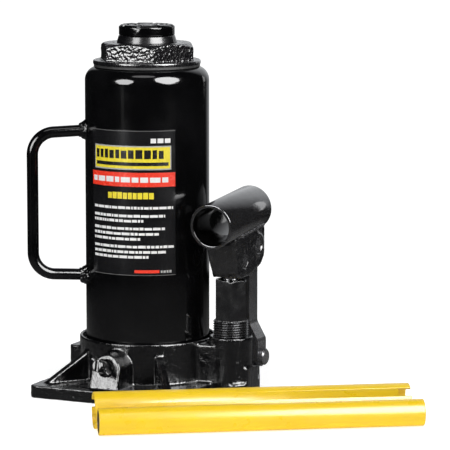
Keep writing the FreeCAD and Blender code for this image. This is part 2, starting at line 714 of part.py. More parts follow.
# ---- handle socket ------------------------------------------------------------------------
SOCKET_R = 14.0
SOCKET_BORE_R = 12.0
SOCKET_LENGTH = 60.6
SOCKET_MIDDLE = V(PUMP_X, 0.8, 111.5)
SOCKET_SLOPE = 5.1           # degrees, the mouth is the lower end


def socket_line(distance):
    """Point on the socket's axis, at a distance from its middle towards its mouth."""
    slope = math.radians(SOCKET_SLOPE)
    return SOCKET_MIDDLE + V(0, -math.cos(slope), -math.sin(slope)) * distance


def socket_tube():
    rear, mouth = socket_line(-SOCKET_LENGTH / 2), socket_line(SOCKET_LENGTH / 2)
    bore = rod(SOCKET_BORE_R, socket_line(-SOCKET_LENGTH), socket_line(SOCKET_LENGTH))
    return rod(SOCKET_R, rear, mouth).cut(bore)


def socket_yoke():
    """Fork cast under the socket tube: two cheeks, closed on the operator's side."""
    left, right = PUMP_X - CHEEK_OUT, PUMP_X + CHEEK_OUT
    cheek = [(-15.5, 101), (-13.4, 86, 9), (-11, 73.6, 6), (7, 74.4, 8), (24, 79.2, 8), (29.5, 84.5, 6),
             (29.5, 104)]
    block = side_plate(cheek, left, right)
    inside = [(-8.2, 60), (-8.4, 74), (-10.4, 84), (-9.8, 90, 4), (-3, 94.2, 4), (9, 94.2, 3), (11.5, 102),
              (40, 106), (40, 60)]
    rim_r, rim_high, rim_deep = 7.2, 0.9, 0.4
    rim = crossbar(rim_r, LEVER_BACK, LINK_PIN_Z, right - 1, right + rim_high)
    reach = CHEEK_OUT + 5
    # the casting narrows downwards at its left front corner
    corner = beyond(V(left - 0.9, -10.6, 91.4), V(-0.905, -0.377, -0.198))
    return without(fuse(block, rim), [
        side_plate(inside, PUMP_X - CHEEK_IN, PUMP_X + CHEEK_IN),
        corner,
        rod(SOCKET_R + CLOSE, socket_line(-50), socket_line(50)),
        crossbar(LINK_PIN_R + FREE, LEVER_BACK, LINK_PIN_Z, PUMP_X - reach, PUMP_X + reach),
        crossbar(LINK_PIN_R + 0.9, LEVER_BACK, LINK_PIN_Z, right - rim_deep, PUMP_X + reach),
        crossbar(PLUNGER_PIN_R + CLOSE, 0, PLUNGER_PIN_Z, PUMP_X - reach, PUMP_X + reach),
    ])


# ---- loose handle sections lying on the ground --------------------------------------------
PIPE_WALL = 1.5
LARGE_PIPE_R = 11.0
SMALL_PIPE_R = 8.0
LARGE_PIPE_LENGTH = 190.0
SMALL_PIPE_LENGTH = 194.0
PIPES_ANGLE = 33.3           # degrees from +X
LARGE_PIPE_START = V(29.2, -131.0, LARGE_PIPE_R)
PIPE_GAP = 0.5
PIPE_SHIFT = 0.9             # the small section lies this much further along


def pipe_way():
    angle = math.radians(PIPES_ANGLE)
    return V(math.cos(angle), math.sin(angle), 0)


def pipe(radius, start, length):
    """Thin-walled tube lying along the pipes' direction."""
    way = pipe_way()
    outer = rod(radius, start, start + way * length)
    return outer.cut(rod(radius - PIPE_WALL, start - way, start + way * (length + 1)))


def notch(centre, roll):
    """Slot across the end of a pipe, turned about the pipe by roll degrees."""
    width, depth = 5.5, 8.0
    cutter = box((-depth, -20, -width / 2), (depth, 20, width / 2))
    cutter.rotate(ORIGIN, V(1, 0, 0), roll)
    cutter.rotate(ORIGIN, UP, PIPES_ANGLE)
    cutter.translate(centre)
    return cutter


def large_handle_section():
    """The section whose notched ends turn the release valve."""
    end = LARGE_PIPE_START + pipe_way() * LARGE_PIPE_LENGTH
    tube = pipe(LARGE_PIPE_R, LARGE_PIPE_START, LARGE_PIPE_LENGTH)
    return without(tube, [notch(LARGE_PIPE_START, 15), notch(end, -43)])


def small_handle_section():
    """It lies on the ground beside the large one, almost touching it."""
    beside = V(pipe_way().y, -pipe_way().x, 0)
    apart = math.sqrt((LARGE_PIPE_R + SMALL_PIPE_R) ** 2 - (LARGE_PIPE_R - SMALL_PIPE_R) ** 2) + PIPE_GAP
    start = LARGE_PIPE_START + beside * apart + pipe_way() * PIPE_SHIFT
    return pipe(SMALL_PIPE_R, V(start.x, start.y, SMALL_PIPE_R), SMALL_PIPE_LENGTH)


# ---- every piece --------------------------------------------------------------------------
PARTS = {
    "base": base,
    "tank": tank,
    "tank_gasket": tank_gasket,
    "tank_label": tank_label,
    "filler_plug": filler_plug,
    "carry_handle": carry_handle,
    "handle_welds": handle_welds,
    "cap_nut": cap_nut,
    "cap_gasket": cap_gasket,
    "ram_wiper": ram_wiper,
    "guide_bush": guide_bush,
    "pressure_cylinder": pressure_cylinder,
    "cylinder_gasket": cylinder_gasket,
    "ram": ram,
    "ram_cup_seal": ram_cup_seal,
    "seal_retaining_nut": seal_retaining_nut,
    "extension_screw": extension_screw,
    "screw_stop_ring": screw_stop_ring,
    "release_valve": release_valve,
    "release_seal": release_seal,
    "release_ball": release_ball,
    "overload_plug": overload_plug,
    "overload_spring": overload_spring,
    "overload_ball": overload_ball,
    "inlet_filter": inlet_filter,
    "inlet_ball": inlet_ball,
    "delivery_ball": delivery_ball,
    "delivery_spring": delivery_spring,
    "delivery_plug": delivery_plug,
    "pump_cylinder": pump_cylinder,
    "pump_gasket": pump_gasket,
    "plunger_seal": plunger_seal,
    "pump_plunger": pump_plunger,
    "plunger_pin": plunger_pin,
    "plunger_pin_clip": plunger_pin_clip,
    "link_pin": link_pin,
    "link_pin_clip": link_pin_clip,
    "lower_pin": lower_pin,
    "lower_pin_clip": lower_pin_clip,
    "link_plate_left": lambda: link_plate(-1),
    "link_plate_right": lambda: link_plate(1),
    "socket_tube": socket_tube,
    "socket_yoke": socket_yoke,
    "large_handle_section": large_handle_section,
    "small_handle_section": small_handle_section,
}


def main():
    os.makedirs("parts", exist_ok=True)
    for name, make in PARTS.items():
        shape = make()
        shape.exportStep("parts/%s.step" % name)
        print(name, shape.isValid(), len(shape.Solids), round(shape.Volume, 1))


main()
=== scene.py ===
"""Looks of the hydraulic bottle jack and its two handle sections.

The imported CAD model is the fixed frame. Lengths are metres, written as a number of MM where that
reads better. Most heights and places come from the CAD nodes' boxes and the record's mounts.
"""
import bmesh
import bpy
import json
import math
import random
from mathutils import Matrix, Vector, noise


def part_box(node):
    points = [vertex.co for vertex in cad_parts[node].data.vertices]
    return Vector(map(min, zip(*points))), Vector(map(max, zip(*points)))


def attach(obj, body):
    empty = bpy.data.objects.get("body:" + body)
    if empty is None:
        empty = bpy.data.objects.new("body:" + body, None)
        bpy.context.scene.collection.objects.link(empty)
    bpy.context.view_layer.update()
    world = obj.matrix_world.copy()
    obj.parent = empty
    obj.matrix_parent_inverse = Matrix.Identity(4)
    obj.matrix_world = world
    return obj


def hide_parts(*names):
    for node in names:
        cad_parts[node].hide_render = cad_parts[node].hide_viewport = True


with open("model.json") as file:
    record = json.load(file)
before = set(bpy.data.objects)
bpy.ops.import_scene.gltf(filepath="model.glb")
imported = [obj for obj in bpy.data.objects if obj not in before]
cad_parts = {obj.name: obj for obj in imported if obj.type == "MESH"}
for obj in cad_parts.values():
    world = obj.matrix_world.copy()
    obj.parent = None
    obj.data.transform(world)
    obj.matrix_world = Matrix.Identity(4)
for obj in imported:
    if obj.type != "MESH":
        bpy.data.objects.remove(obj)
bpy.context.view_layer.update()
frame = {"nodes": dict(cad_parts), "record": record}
NODES = frame["nodes"]
MM = 0.001
BODY_OF = {node: body for body, nodes in frame["record"]["behaviour"]["bodies"].items() for node in nodes}
SLOT_OF = {part["node"]: part["material_slot"] for part in frame["record"]["subparts"]}

MOUNTS = {mount["name"]: mount for mount in frame["record"]["mounts"]}

TANK_LOW, TANK_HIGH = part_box("tank")
TANK_R = (TANK_HIGH.x - TANK_LOW.x) / 2


# ---- camera, lights and floor ---------------------------------------------------------------
VIEW_AZIMUTH = math.radians(25.0)        # the camera stands between the operator and the pump
VIEW_ELEVATION = math.radians(8.02)
VIEW_DISTANCE = 1.818
VIEW_LENS = 230.3                        # mm, on a 36 mm sensor
VIEW_TARGET = (0.0489, 0.1031)           # to the right of the ram's axis, and above the ground
LAMP_DISTANCE = 1.5
LAMP_TARGET = Vector((0, 0, 0.12))       # about the middle of the jack
BACKDROP_AZIMUTH = math.radians(165)     # of the pale patch, counted from the camera's azimuth
BACKDROP_ELEVATION = math.radians(20)
BACKDROP_EDGE = (0.82, 0.97)             # cosines from its middle, at its rim and where it is full
BACKDROP_GLOW = (0.012, 0.80)            # strength outside it and in it
FLOOR_R = 0.55
FLOOR_MIDDLE = (0.06, -0.06, -0.0002)    # a hair below the underside of the base
FLOOR_FADE = (0.18, 0.50)                # where its reflection starts to fade, and where it is gone
FLOOR_SHINE = 0.18                       # strength of the floor as glossy paint shows it


def direction(azimuth, elevation):
    """Unit vector from the object; azimuth 0 is the operator's side, growing towards the pump."""
    flat = math.cos(elevation)
    return Vector((math.sin(azimuth) * flat, -math.cos(azimuth) * flat, math.sin(elevation)))


def aim(obj, place, target):
    obj.location = place
    obj.rotation_euler = (Vector(target) - Vector(place)).to_track_quat("-Z", "Y").to_euler()


def make_camera():
    data = bpy.data.cameras.new("camera")
    data.lens = VIEW_LENS
    data.sensor_width = 36.0
    data.clip_start = 0.05
    data.clip_end = 50.0
    camera = bpy.data.objects.new("camera", data)
    bpy.context.scene.collection.objects.link(camera)
    right = Vector((math.cos(VIEW_AZIMUTH), math.sin(VIEW_AZIMUTH), 0))
    target = right * VIEW_TARGET[0] + Vector((0, 0, VIEW_TARGET[1]))
    aim(camera, target + direction(VIEW_AZIMUTH, VIEW_ELEVATION) * VIEW_DISTANCE, target)
    bpy.context.scene.camera = camera


def soft_box(name, azimuth, elevation, size, glow, gloss):
    """Soft lamp, aimed at the jack from an angle counted from the camera's azimuth.

    A gloss lamp makes highlights and nothing else; the other kind lights without making any.
    """
    data = bpy.data.lights.new(name, "AREA")
    data.shape = "ELLIPSE" if gloss else "RECTANGLE"
    data.size, data.size_y = size
    data.energy = glow * size[0] * size[1]
    lamp = bpy.data.objects.new(name, data)
    bpy.context.scene.collection.objects.link(lamp)
    way = direction(VIEW_AZIMUTH + math.radians(azimuth), math.radians(elevation))
    aim(lamp, LAMP_TARGET + way * LAMP_DISTANCE, LAMP_TARGET)
    lamp.visible_diffuse = not gloss
    lamp.visible_glossy = gloss


def make_lights():
    soft_box("gloss_left", -42, 19, (0.90, 0.90), 34, True)
    soft_box("gloss_left_faint", -44, -8, (0.16, 0.50), 0.5, True)
    soft_box("gloss_right", 42, 30, (1.20, 1.40), 44, True)
    soft_box("gloss_back", 134, 8, (0.14, 0.55), 3, True)
    soft_box("gloss_top", -10, 66, (0.8, 0.5), 6, True)
    soft_box("fill_left", -40, 44, (1.2, 1.2), 11.5, False)
    soft_box("fill_right", 50, 40, (1.2, 1.2), 11.5, False)


def ranged(tree, value, low, high, to_low, to_high):
    """A value, moved from one range to another and kept inside it."""
    made = tree.nodes.new("ShaderNodeMapRange")
    made.inputs["From Min"].default_value = low
    made.inputs["From Max"].default_value = high
    made.inputs["To Min"].default_value = to_low
    made.inputs["To Max"].default_value = to_high
    tree.links.new(value, made.inputs["Value"])
    return made.outputs["Result"]


def make_world():
    """White to the eye. As a light it is a pale patch behind the object, and dim elsewhere."""
    world = bpy.data.worlds.new("studio")
    bpy.context.scene.world = world
    world.use_nodes = True
    tree = world.node_tree
    tree.nodes.clear()
    coords = tree.nodes.new("ShaderNodeTexCoord").outputs["Generated"]
    towards = tree.nodes.new("ShaderNodeVectorMath")
    towards.operation = "DOT_PRODUCT"
    behind = direction(VIEW_AZIMUTH + BACKDROP_AZIMUTH, BACKDROP_ELEVATION)
    towards.inputs[1].default_value = behind
    tree.links.new(coords, towards.inputs[0])
    patch = ranged(tree, towards.outputs["Value"], *BACKDROP_EDGE, *BACKDROP_GLOW)
    lit = tree.nodes.new("ShaderNodeBackground")
    lit.inputs["Color"].default_value = (0.95, 0.97, 1.0, 1)
    tree.links.new(patch, lit.inputs["Strength"])
    seen = tree.nodes.new("ShaderNodeBackground")
    seen.inputs["Color"].default_value = (1, 1, 1, 1)
    seen.inputs["Strength"].default_value = 1.1
    path = tree.nodes.new("ShaderNodeLightPath")
    mix = tree.nodes.new("ShaderNodeMixShader")
    output = tree.nodes.new("ShaderNodeOutputWorld")
    tree.links.new(path.outputs["Is Camera Ray"], mix.inputs["Fac"])
    tree.links.new(lit.outputs["Background"], mix.inputs[1])
    tree.links.new(seen.outputs["Background"], mix.inputs[2])
    tree.links.new(mix.outputs["Shader"], output.inputs["Surface"])


def make_floor():
    """Round white light table under the object. Glossy paint shows it dimly, and less further out."""
    mesh = bpy.data.meshes.new("floor")
    shape = bmesh.new()
    bmesh.ops.create_circle(shape, cap_ends=True, radius=FLOOR_R, segments=128)
    shape.to_mesh(mesh)
    shape.free()
    floor = bpy.data.objects.new("floor", mesh)
    floor.location = FLOOR_MIDDLE
    bpy.context.scene.collection.objects.link(floor)
    mat = bpy.data.materials.new("floor_white")
    mat.use_nodes = True
    shader = mat.node_tree.nodes["Principled BSDF"]
    shader.inputs["Base Color"].default_value = (0.8, 0.8, 0.8, 1)
    shader.inputs["Roughness"].default_value = 0.9
    shader.inputs["Specular IOR Level"].default_value = 0.1
    shader.inputs["Emission Color"].default_value = (1, 1, 1, 1)
    shader.inputs["Emission Strength"].default_value = 0.60
    tree = mat.node_tree
    coords = tree.nodes.new("ShaderNodeTexCoord").outputs["Object"]
    reach = tree.nodes.new("ShaderNodeVectorMath")
    reach.operation = "LENGTH"
    tree.links.new(coords, reach.inputs[0])
    fade = ranged(tree, reach.outputs["Value"], *FLOOR_FADE, FLOOR_SHINE, 0.0)
    dim = tree.nodes.new("ShaderNodeEmission")
    tree.links.new(fade, dim.inputs["Strength"])
    path = tree.nodes.new("ShaderNodeLightPath")
    mix = tree.nodes.new("ShaderNodeMixShader")
    tree.links.new(path.outputs["Is Glossy Ray"], mix.inputs["Fac"])
    tree.links.new(shader.outputs["BSDF"], mix.inputs[1])
    tree.links.new(dim.outputs["Emission"], mix.inputs[2])
    tree.links.new(mix.outputs["Shader"], tree.nodes["Material Output"].inputs["Surface"])
    mesh.materials.append(mat)


# ---- materials ------------------------------------------------------------------------------
class Paint:
    """A node material on the row's own coordinates, built up call by call."""

    def __init__(self, name, base, metallic=0.0, coat=0.0, coat_roughness=0.05):
        self.material = bpy.data.materials.new(name)
        self.material.use_nodes = True
        self.tree = self.material.node_tree
        self.shader = self.tree.nodes["Principled BSDF"]
        self.shader.inputs["Metallic"].default_value = metallic
        self.shader.inputs["Coat Weight"].default_value = coat
        self.shader.inputs["Coat Roughness"].default_value = coat_roughness
        self.base = base
        self.coords = self.node("ShaderNodeTexCoord").outputs["Object"]
        self.colour = None
        self.relief = None

    def node(self, kind, **settings):
        made = self.tree.nodes.new(kind)
        for key, value in settings.items():
            setattr(made, key, value)
        return made

    def link(self, start, end):
        self.tree.links.new(start, end)

    def noise(self, size, detail=3.0, stretch=(1, 1, 1), roughness=0.5):
        """Noise with features of that size in metres; stretch lengthens them along each axis."""
        mapping = self.node("ShaderNodeMapping")
        mapping.inputs["Scale"].default_value = tuple(1.0 / (size * s) for s in stretch)
        self.link(self.coords, mapping.inputs["Vector"])
        made = self.node("ShaderNodeTexNoise")
        made.inputs["Scale"].default_value = 1.0
        made.inputs["Detail"].default_value = detail
        made.inputs["Roughness"].default_value = roughness
        self.link(mapping.outputs["Vector"], made.inputs["Vector"])
        return made.outputs["Fac"]

    def mixed(self, factor, other):
        """The colour so far, turned into another where factor is 1."""
        made = self.node("ShaderNodeMix", data_type="RGBA")
        self.link(factor, made.inputs["Factor"])
        if self.colour is None:
            made.inputs[6].default_value = (*self.base, 1)
        else:
            self.link(self.colour, made.inputs[6])
        made.inputs[7].default_value = (*other, 1)
        self.colour = made.outputs[2]
        return self

    def varied(self, size, other, low=0.45, high=0.7, stretch=(1, 1, 1)):
        """Patches of another colour."""
        return self.mixed(ranged(self.tree, self.noise(size, stretch=stretch), low, high, 0, 1), other)

    def marked(self, mark, other):
        """Another colour where the mesh carries a mark of that name."""
        return self.mixed(self.node("ShaderNodeAttribute", attribute_name=mark).outputs["Fac"], other)

    def worn(self, other, sharpness=0.56, amount=0.8, size=0.6 * MM):
        """Bare or dusty edges, broken up by noise. It needs a mesh with fine faces."""
        pointed = self.node("ShaderNodeNewGeometry").outputs["Pointiness"]
        edge = ranged(self.tree, pointed, sharpness, sharpness + 0.06, 0, amount)
        speckle = ranged(self.tree, self.noise(size), 0.42, 0.6, 0, 1)
        both = self.node("ShaderNodeMath", operation="MULTIPLY")
        self.link(edge, both.inputs[0])
        self.link(speckle, both.inputs[1])
        return self.mixed(both.outputs["Value"], other)

    def rough(self, low, high, size, stretch=(1, 1, 1), detail=3.0):
        """Roughness that wanders between two values."""
        value = ranged(self.tree, self.noise(size, detail=detail, stretch=stretch), 0.3, 0.7, low, high)
        self.link(value, self.shader.inputs["Roughness"])
        return self

    def bumped(self, size, depth, detail=3.0, stretch=(1, 1, 1), roughness=0.5):
        """Relief of that feature size and depth in metres, on top of the relief so far."""
        bump = self.node("ShaderNodeBump")
        bump.inputs["Strength"].default_value = 1.0
        bump.inputs["Distance"].default_value = depth
        waves = self.noise(size, detail=detail, stretch=stretch, roughness=roughness)
        self.link(waves, bump.inputs["Height"])
        if self.relief is not None:
            self.link(self.relief, bump.inputs["Normal"])
        self.relief = bump.outputs["Normal"]
        return self

    def done(self):
        if self.colour is None:
            self.shader.inputs["Base Color"].default_value = (*self.base, 1)
        else:
            self.link(self.colour, self.shader.inputs["Base Color"])
        if self.relief is not None:
            self.link(self.relief, self.shader.inputs["Normal"])
        return self.material


def gloss_black():
    paint = Paint("gloss_black", (0.0018, 0.0018, 0.0021))
    paint.varied(30 * MM, (0.004, 0.004, 0.0045))
    paint.varied(0.5 * MM, (0.02, 0.02, 0.02), 0.70, 0.8)
    paint.rough(0.07, 0.13, 12 * MM)
    paint.bumped(2.5 * MM, 0.012 * MM)
    return paint.done()


def cast_black():
    """Thick gloss paint over a sand-cast skin."""
    paint = Paint("cast_black", (0.002, 0.002, 0.0023), coat=0.3, coat_roughness=0.04)
    paint.varied(9 * MM, (0.004, 0.004, 0.0045))
    paint.worn((0.05, 0.049, 0.048), 0.58, 0.6)
    paint.rough(0.07, 0.16, 4 * MM)
    paint.bumped(3.0 * MM, 0.16 * MM)
    paint.bumped(1.0 * MM, 0.18 * MM, roughness=0.6)
    return paint.done()


def nut_black():
    """Painted over a coarse forged skin."""
    paint = Paint("nut_black", (0.006, 0.006, 0.007), coat=0.9, coat_roughness=0.08)
    paint.varied(4 * MM, (0.012, 0.012, 0.012))
    paint.worn((0.10, 0.098, 0.094), 0.58, 0.6)
    paint.rough(0.16, 0.28, 2 * MM)
    paint.bumped(0.9 * MM, 0.12 * MM, detail=1.5)
    return paint.done()


def satin_black():
    paint = Paint("satin_black", (0.006, 0.006, 0.007), metallic=0.1, coat=0.3, coat_roughness=0.08)
    paint.varied(12 * MM, (0.009, 0.009, 0.010))
    paint.rough(0.18, 0.30, 6 * MM)
    paint.bumped(1.2 * MM, 0.03 * MM)
    return paint.done()


def bright_thread():
    """Oiled steel where the thread has rubbed the black off. Its grooves get painted shade, darker with
    their depth.
    """
    paint = Paint("bright_thread", (0.08, 0.08, 0.083), metallic=0.8)
    paint.varied(8 * MM, (0.045, 0.045, 0.047))
    # painted shade: the thread's grooves darkened by their depth
    paint.marked("groove_shade", (0.003, 0.003, 0.003))
    paint.rough(0.20, 0.32, 1 * MM)
    paint.bumped(0.5 * MM, 0.02 * MM)
    return paint.done()


def forged_black():
    """Stubby casting of the socket's yoke: half-bright paint over coarse lumps."""
    paint = Paint("forged_black", (0.009, 0.009, 0.010), coat=0.6, coat_roughness=0.10)
    paint.varied(3 * MM, (0.024, 0.024, 0.024), 0.5, 0.75)
    paint.worn((0.12, 0.118, 0.115), 0.58, 0.7)
    paint.rough(0.13, 0.28, 3 * MM)
    paint.bumped(2.2 * MM, 0.32 * MM)
    paint.bumped(0.9 * MM, 0.14 * MM)
    return paint.done()


def linkage_grey():
    paint = Paint("linkage_grey", (0.14, 0.14, 0.147), metallic=0.7, coat=0.5, coat_roughness=0.06)
    paint.varied(6 * MM, (0.10, 0.10, 0.105))
    paint.varied(1.0 * MM, (0.09, 0.09, 0.09), 0.66, 0.8, stretch=(1, 6, 1))
    paint.rough(0.16, 0.27, 5 * MM)
    paint.bumped(1.6 * MM, 0.05 * MM)
    return paint.done()


def tube_black():
    """Blackened tube of the handle socket, scuffed along its length, with painted shade in its bore."""
    paint = Paint("tube_black", (0.10, 0.10, 0.104), metallic=0.85, coat=0.6, coat_roughness=0.05)
    paint.varied(7 * MM, (0.07, 0.07, 0.073))
    paint.varied(0.9 * MM, (0.2, 0.2, 0.2), 0.64, 0.78, stretch=(1, 7, 1))
    # painted shade inside the bore
    paint.marked("bore", (0.012, 0.012, 0.012))
    paint.rough(0.06, 0.13, 4 * MM)
    paint.bumped(1.8 * MM, 0.05 * MM)
    return paint.done()


def ground_steel():
    paint = Paint("ground_steel", (0.52, 0.52, 0.53), metallic=1.0)
    paint.varied(8 * MM, (0.44, 0.44, 0.45))
    paint.rough(0.18, 0.34, 1.2 * MM, stretch=(8, 8, 0.15))
    paint.bumped(0.4 * MM, 0.01 * MM, stretch=(8, 8, 0.3))
    return paint.done()


def chromed():
    paint = Paint("chromed", (0.66, 0.66, 0.67), metallic=1.0)
    paint.varied(10 * MM, (0.6, 0.6, 0.61))
    paint.rough(0.05, 0.14, 3 * MM)
    paint.bumped(0.5 * MM, 0.004 * MM, stretch=(6, 6, 1))
    return paint.done()


def spring_steel():
    paint = Paint("spring_steel", (0.33, 0.33, 0.35), metallic=1.0)
    paint.varied(3 * MM, (0.22, 0.21, 0.2))
    paint.rough(0.25, 0.45, 1.5 * MM)
    paint.bumped(0.6 * MM, 0.02 * MM)
    return paint.done()


def yellow_gloss():
    paint = Paint("yellow_gloss", (0.86, 0.58, 0.014), coat=0.15, coat_roughness=0.12)
    paint.varied(25 * MM, (0.82, 0.54, 0.012))
    paint.varied(0.8 * MM, (0.55, 0.33, 0.01), 0.72, 0.85)
    # painted shade inside the small section's bore, a darkened copy of the yellow
    paint.marked("bore", (0.09, 0.055, 0.02))
    paint.rough(0.26, 0.38, 10 * MM)
    paint.bumped(3.0 * MM, 0.02 * MM)
    return paint.done()


def label_black():
    paint = Paint("label_black", (0.007, 0.007, 0.008))
    paint.varied(20 * MM, (0.009, 0.009, 0.010))
    paint.rough(0.15, 0.22, 15 * MM)
    paint.bumped(6 * MM, 0.02 * MM)
    return paint.done()


def printed(name, colour):
    """Ink on the label, a little uneven."""
    paint = Paint(name, colour)
    paint.varied(1.2 * MM, tuple(0.88 * c for c in colour), 0.5, 0.75)
    paint.rough(0.22, 0.30, 3 * MM)
    paint.bumped(1.0 * MM, 0.004 * MM)
    return paint.done()


def rubber():
    paint = Paint("rubber", (0.014, 0.014, 0.014))
    paint.varied(4 * MM, (0.03, 0.03, 0.03))
    paint.rough(0.5, 0.75, 2 * MM)
    paint.bumped(0.7 * MM, 0.05 * MM)
    return paint.done()


def seal_plastic():
    paint = Paint("seal_plastic", (0.46, 0.34, 0.14))
    paint.varied(4 * MM, (0.36, 0.25, 0.1))
    paint.rough(0.35, 0.5, 2 * MM)
    paint.bumped(0.8 * MM, 0.02 * MM)
    return paint.done()


def brass():
    paint = Paint("brass", (0.55, 0.38, 0.14), metallic=1.0)
    paint.varied(5 * MM, (0.4, 0.27, 0.1))
    paint.rough(0.2, 0.4, 1.5 * MM)
    paint.bumped(0.5 * MM, 0.01 * MM)
    return paint.done()


SLOT_MAKERS = {
    "black_paint": gloss_black,
    "black_cast": cast_black,
    "black_steel": satin_black,
    "linkage_steel": linkage_grey,
    "ground_steel": ground_steel,
    "chrome_rod": chromed,
    "spring_steel": spring_steel,
    "yellow_paint": yellow_gloss,
    "label_film": label_black,
    "black_rubber": rubber,
    "seal_plastic": seal_plastic,
    "brass": brass,
}


def finish_nodes():
    """Every CAD node takes the material of its slot. Returns the materials by slot."""
    made = {slot: maker() for slot, maker in SLOT_MAKERS.items()}
    for name, obj in NODES.items():
        for place in obj.material_slots:
            place.material = made[SLOT_OF[name]]
    return made


# ---- mesh helpers ---------------------------------------------------------------------------
def add_piece(name, mesh, body, material, stands_for=()):
    """A finished mesh as a piece that rides on a body."""
    piece = bpy.data.objects.new(name, mesh)
    bpy.context.scene.collection.objects.link(piece)
    mesh.materials.clear()
    mesh.materials.append(material)
    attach(piece, body)
    if stands_for:
        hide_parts(*stands_for)
    return piece


def smooth(mesh):
    for face in mesh.polygons:
        face.use_smooth = True


def baked(mesh, *modifiers):
    """The mesh with modifiers applied; each is (kind, {setting: value})."""
    holder = bpy.data.objects.new("holder", mesh)
    bpy.context.scene.collection.objects.link(holder)
    for kind, settings in modifiers:
        modifier = holder.modifiers.new(kind, kind)
        for key, value in settings.items():
            setattr(modifier, key, value)
    evaluated = holder.evaluated_get(bpy.context.evaluated_depsgraph_get())
    result = bpy.data.meshes.new_from_object(evaluated)
    bpy.data.objects.remove(holder)
    return result


def cast_copy(node, voxel, passes, material, lumps=0.0, lump_size=6 * MM, lumpy=None, keep=None):
    """A CAD node with its corners softened as in a casting, and its skin slightly uneven.

    lumpy says which points are uneven, and keep which stay, where other pieces stand for the rest.
    """
    mesh = baked(
        NODES[node].data.copy(),
        ("REMESH", {"mode": "VOXEL", "voxel_size": voxel}),
        ("SMOOTH", {"factor": 0.5, "iterations": passes}),
    )
    low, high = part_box(node)
    if lumps:
        normals = [v.normal.copy() for v in mesh.vertices]
        for vertex, normal in zip(mesh.vertices, normals):
            if lumpy and not lumpy(vertex.co):
                continue
            wave = noise.noise(vertex.co / lump_size) + 0.5 * noise.noise(vertex.co * 2.3 / lump_size)
            vertex.co += normal * (wave - 0.6) * lumps
    for vertex in mesh.vertices:
        vertex.co = Vector(min(max(c, a), b) for c, a, b in zip(vertex.co, low, high))
    if keep:
        shape = bmesh.new()
        shape.from_mesh(mesh)
        bmesh.ops.delete(shape, geom=[v for v in shape.verts if not keep(v.co)], context="VERTS")
        bmesh.ops.holes_fill(shape, edges=[e for e in shape.edges if e.is_boundary])
        shape.to_mesh(mesh)
        shape.free()
    smooth(mesh)
    return add_piece(node + "_skin", mesh, BODY_OF[node], material, (node,))


def tube_mesh(name, outer, inner, length, rim):
    """Tube along Z about its own middle, its four rims rounded by that radius."""
    half = length / 2
    quarter = [math.radians(a) for a in (0, 30, 60, 90)]
    top = [(outer - rim + rim * math.cos(a), half - rim + rim * math.sin(a)) for a in quarter]
    top += [(inner + rim - rim * math.sin(a), half - rim + rim * math.cos(a)) for a in quarter]
    profile = top + [(radius, -along) for radius, along in reversed(top)]
    return turned_mesh(name, profile, 96)


def turned_mesh(name, profile, segments):
    """Closed skin of revolution about Z, from a closed outline of (radius, height)."""
    shape = bmesh.new()
    rings = []
    for k in range(segments):
        turn = 2 * math.pi * k / segments
        rings.append([shape.verts.new((r * math.cos(turn), r * math.sin(turn), z)) for r, z in profile])
    for k, ring in enumerate(rings):
        following = rings[(k + 1) % segments]
        for i in range(len(profile)):
            j = (i + 1) % len(profile)
            shape.faces.new((ring[i], following[i], following[j], ring[j]))
    bmesh.ops.recalc_face_normals(shape, faces=shape.faces)
    mesh = bpy.data.meshes.new(name)
    shape.to_mesh(mesh)
    shape.free()
    smooth(mesh)
    return mesh


def mark_bore_shade(mesh, mount):
    """Marks a tube's faces that look at its axis, where the materials paint shade inside the tube."""
    middle, axis = Vector(mount["pos_m"]), Vector(mount["axis"])
    marks = mesh.attributes.new("bore", "FLOAT", "FACE")
    for face in mesh.polygons:
        outward = (face.center - middle).cross(axis).cross(axis)
        marks.data[face.index].value = float(face.normal.dot(outward) > 0.5 * outward.length)


def laid(mesh, middle, way):
    """The mesh, with its own Z turned along a direction and its origin put at a point."""
    turn = Vector(way).to_track_quat("Z", "Y").to_matrix().to_4x4()
    mesh.transform(turn)
    for vertex in mesh.vertices:
        vertex.co += Vector(middle)
    return mesh


# ---- pieces ---------------------------------------------------------------------------------
NOTCH_WIDTH = 5.5 * MM                   # of the slots across the large handle section's ends
NOTCH_DEPTH = 8.0 * MM
NOTCH_ROLLS = ((-1, 15), (1, -43))       # which end, and the slot's turn about the tube in degrees
SOCKET_WALL = 2.0 * MM
SECTION_WALL = 1.5 * MM
SCREW_R = 12.5 * MM                      # extension screw
SCREW_DEPTH = 1.4 * MM                   # of its thread
SCREW_PITCH = 4.0 * MM
SCREW_PLAIN = 10.0 * MM                  # its foot, which has no thread
PUMP_THREAD_R = 11.0 * MM
PUMP_THREAD_DEPTH = 0.9 * MM
PUMP_THREAD_PITCH = 1.5 * MM
PUMP_THREAD_LENGTH = 12.0 * MM
HEXAGON_BOTTOM = 46.5 * MM               # the pump cylinder's thread ends here
WELD_R = 1.1 * MM                        # beads of the handle socket
WELD_START = -26.0 * MM                  # along the socket, from its middle
WELD_END = 13.5 * MM


def make_castings(finish):
    flange_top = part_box("cap_gasket")[1].z + 2.7 * MM
    cast_copy("base", 0.65 * MM, 9, finish["black_cast"], lumps=0.13 * MM, lump_size=4.5 * MM)
    cast_copy("cap_nut", 0.35 * MM, 2, nut_black(), lumps=0.22 * MM, lump_size=1.5 * MM,
              lumpy=lambda co: co.z > flange_top and math.hypot(co.x, co.y) > 21 * MM)
    cast_copy("socket_yoke", 0.50 * MM, 30, forged_black(), lumps=0.22 * MM, lump_size=4 * MM)
    cast_copy("handle_welds", 0.30 * MM, 6, finish["black_paint"], lumps=0.55 * MM, lump_size=2.2 * MM)
    cast_copy("release_valve", 0.25 * MM, 6, finish["black_paint"], lumps=0.10 * MM, lump_size=3 * MM)


